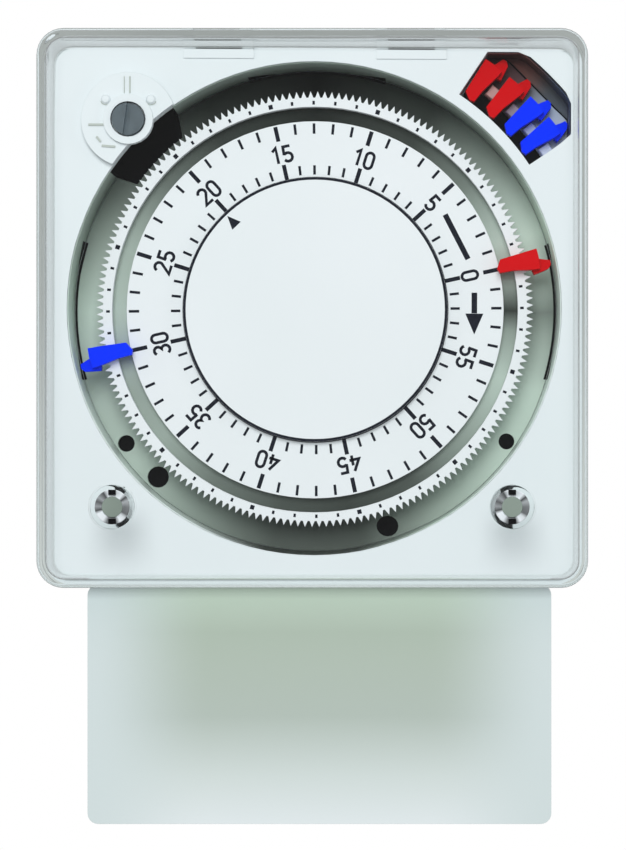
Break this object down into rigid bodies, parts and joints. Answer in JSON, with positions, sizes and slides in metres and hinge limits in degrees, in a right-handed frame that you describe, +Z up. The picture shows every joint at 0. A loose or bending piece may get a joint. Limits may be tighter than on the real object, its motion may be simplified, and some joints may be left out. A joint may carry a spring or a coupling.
{
  "type": "programmable timer",
  "caption": "Wall and rail mounted time switch: toothed one-hour dial with plug-in trippers behind a clear hinged hood, terminal cover below.",
  "frame": {"origin": "on the back face that lies against the wall, behind the dial's axis", "axes": "+X to the right seen from the front, +Y into the wall, +Z up; the dial faces -Y"},
  "size_m": [0.1, 0.0605, 0.1469],
  "materials": {
    "case_white": "fine satin moulded white",
    "dial_white": "smooth white with black print",
    "clear_plastic": "polished clear plastic",
    "dial_metal": "spun grey metal",
    "steel": "plain steel",
    "brass": "machined brass",
    "grey_plastic": "moulded grey",
    "black_plastic": "moulded black",
    "red_plastic": "moulded red",
    "blue_plastic": "moulded blue"
  },
  "bodies": {
    "housing": {"base_housing": "case_white", "head_housing": "case_white", "switch_bezel": "case_white", "centre_disc": "dial_white", "recess_plate": "dial_metal", "centre_post": "steel", "rear_movement_plate": "steel", "front_movement_plate": "steel", "motor_can": "steel", "motor_flange": "steel", "hinge_pin_left": "steel", "hinge_pin_right": "steel", "rail_latch_spring": "steel", "terminal_block": "grey_plastic", "star_carrier": "black_plastic", "microswitch_case": "black_plastic", "spare_rack": "black_plastic", "spare_tripper_on_1": "red_plastic", "spare_tripper_on_2": "red_plastic", "spare_tripper_off_1": "blue_plastic", "spare_tripper_off_2": "blue_plastic", "movement_pillar_1": "steel", "movement_pillar_2": "steel", "movement_pillar_3": "steel", "movement_pillar_4": "steel", "switch_terminal_1": "brass", "switch_terminal_2": "brass", "switch_terminal_3": "brass", "terminal_clamp_1": "brass", "terminal_screw_1": "steel", "terminal_clamp_2": "brass", "terminal_screw_2": "steel", "terminal_clamp_3": "brass", "terminal_screw_3": "steel", "terminal_clamp_4": "brass", "terminal_screw_4": "steel", "terminal_clamp_5": "brass", "terminal_screw_5": "steel"},
    "dial": {"dial_ring": "dial_white", "scale_disc": "dial_white", "dial_plate": "dial_metal", "dial_hub": "brass", "dial_gear": "brass", "friction_spring": "steel", "tripper_on": "red_plastic", "tripper_off": "blue_plastic"},
    "intermediate_shaft": {"intermediate_gear": "brass", "intermediate_pinion": "steel", "intermediate_arbor": "steel"},
    "motor_output": {"motor_pinion": "brass", "motor_shaft": "steel"},
    "manual_switch": {"manual_switch_shaft": "grey_plastic", "star_wheel": "black_plastic", "switch_cam": "black_plastic"},
    "plunger": {"switch_plunger": "red_plastic"},
    "hood": {"clear_hood": "clear_plastic"},
    "lock_left": {"hood_lock_left": "clear_plastic"},
    "lock_right": {"hood_lock_right": "clear_plastic"},
    "cover": {"terminal_cover": "case_white"},
    "latch": {"rail_latch": "grey_plastic"}
  },
  "joints": [
    {"name": "dial_turn", "type": "hinge", "parent": "housing", "child": "dial", "pos_m": [0, -0.04, 0], "axis": [0, 1, 0], "continuous": true},
    {"name": "intermediate_turn", "type": "hinge", "parent": "housing", "child": "intermediate_shaft", "pos_m": [-0.00847, -0.025, -0.02326], "axis": [0, 1, 0], "continuous": true},
    {"name": "motor_turn", "type": "hinge", "parent": "housing", "child": "motor_output", "pos_m": [-0.00368, -0.023, -0.03641], "axis": [0, 1, 0], "continuous": true},
    {"name": "manual_switch_turn", "type": "hinge", "parent": "housing", "child": "manual_switch", "pos_m": [-0.03474, -0.0469, 0.03498], "axis": [0, 1, 0], "continuous": true},
    {"name": "plunger_press", "type": "slide", "parent": "housing", "child": "plunger", "axis": [1, 0, 0], "range_m": [0, 0.0006], "stiffness_N_per_m": 300},
    {"name": "hood_swing", "type": "hinge", "parent": "housing", "child": "hood", "pos_m": [0, -0.0422, 0.0486], "axis": [-1, 0, 0], "range_deg": [0, 100]},
    {"name": "lock_left_turn", "type": "hinge", "parent": "hood", "child": "lock_left", "pos_m": [-0.0362, -0.06, -0.0367], "axis": [0, 1, 0], "range_deg": [0, 90]},
    {"name": "lock_right_turn", "type": "hinge", "parent": "hood", "child": "lock_right", "pos_m": [0.0362, -0.06, -0.0367], "axis": [0, 1, 0], "range_deg": [0, 90]},
    {"name": "cover_pull", "type": "slide", "parent": "housing", "child": "cover", "axis": [0, -1, 0], "range_m": [0, 0.045]},
    {"name": "latch_slide", "type": "slide", "parent": "housing", "child": "latch", "axis": [0, 0, -1], "range_m": [0, 0.0035], "stiffness_N_per_m": 1500, "deforming": ["rail_latch_spring"]}
  ],
  "couplings": [
    {"joint": "intermediate_turn", "follows": "dial_turn", "ratio": -10},
    {"joint": "motor_turn", "follows": "dial_turn", "ratio": 60}
  ]
}
